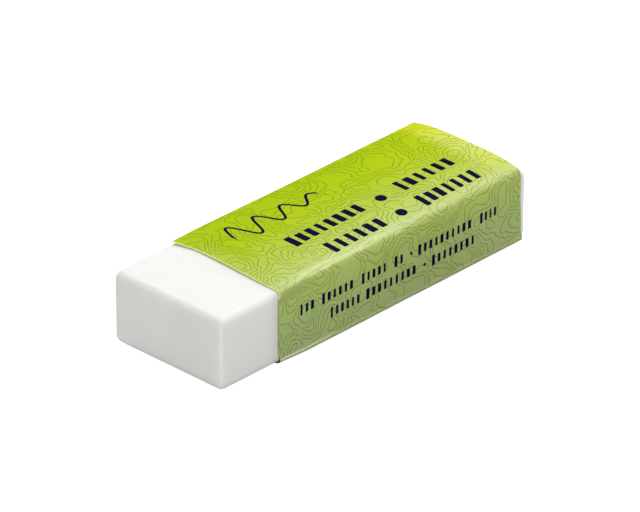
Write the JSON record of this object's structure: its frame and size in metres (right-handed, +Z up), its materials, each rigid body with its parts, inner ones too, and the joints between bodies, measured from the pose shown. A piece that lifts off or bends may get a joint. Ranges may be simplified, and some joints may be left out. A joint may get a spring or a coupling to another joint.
{
  "type": "block eraser",
  "caption": "Block eraser: a rounded bar of white vinyl held by friction in a folded and glued lime green card sleeve, with its working end standing out of the sleeve.",
  "frame": {"origin": "under the middle of the block, on the underside of the sleeve", "axes": "+X along the length, from the working end towards the rear end; +Y across, towards the narrow side where the glue flap turns in; +Z up"},
  "size_m": [0.065, 0.0224, 0.0135],
  "materials": {
    "vinyl": "satin",
    "printed_card": "coated satin"
  },
  "bodies": {
    "sleeve": {"card_sleeve": "printed_card"},
    "block": {"eraser_block": "vinyl"}
  },
  "joints": [
    {"name": "block_slide", "type": "slide", "parent": "sleeve", "child": "block", "axis": [-1, 0, 0], "range_m": [-0.0116, 0.02]}
  ]
}
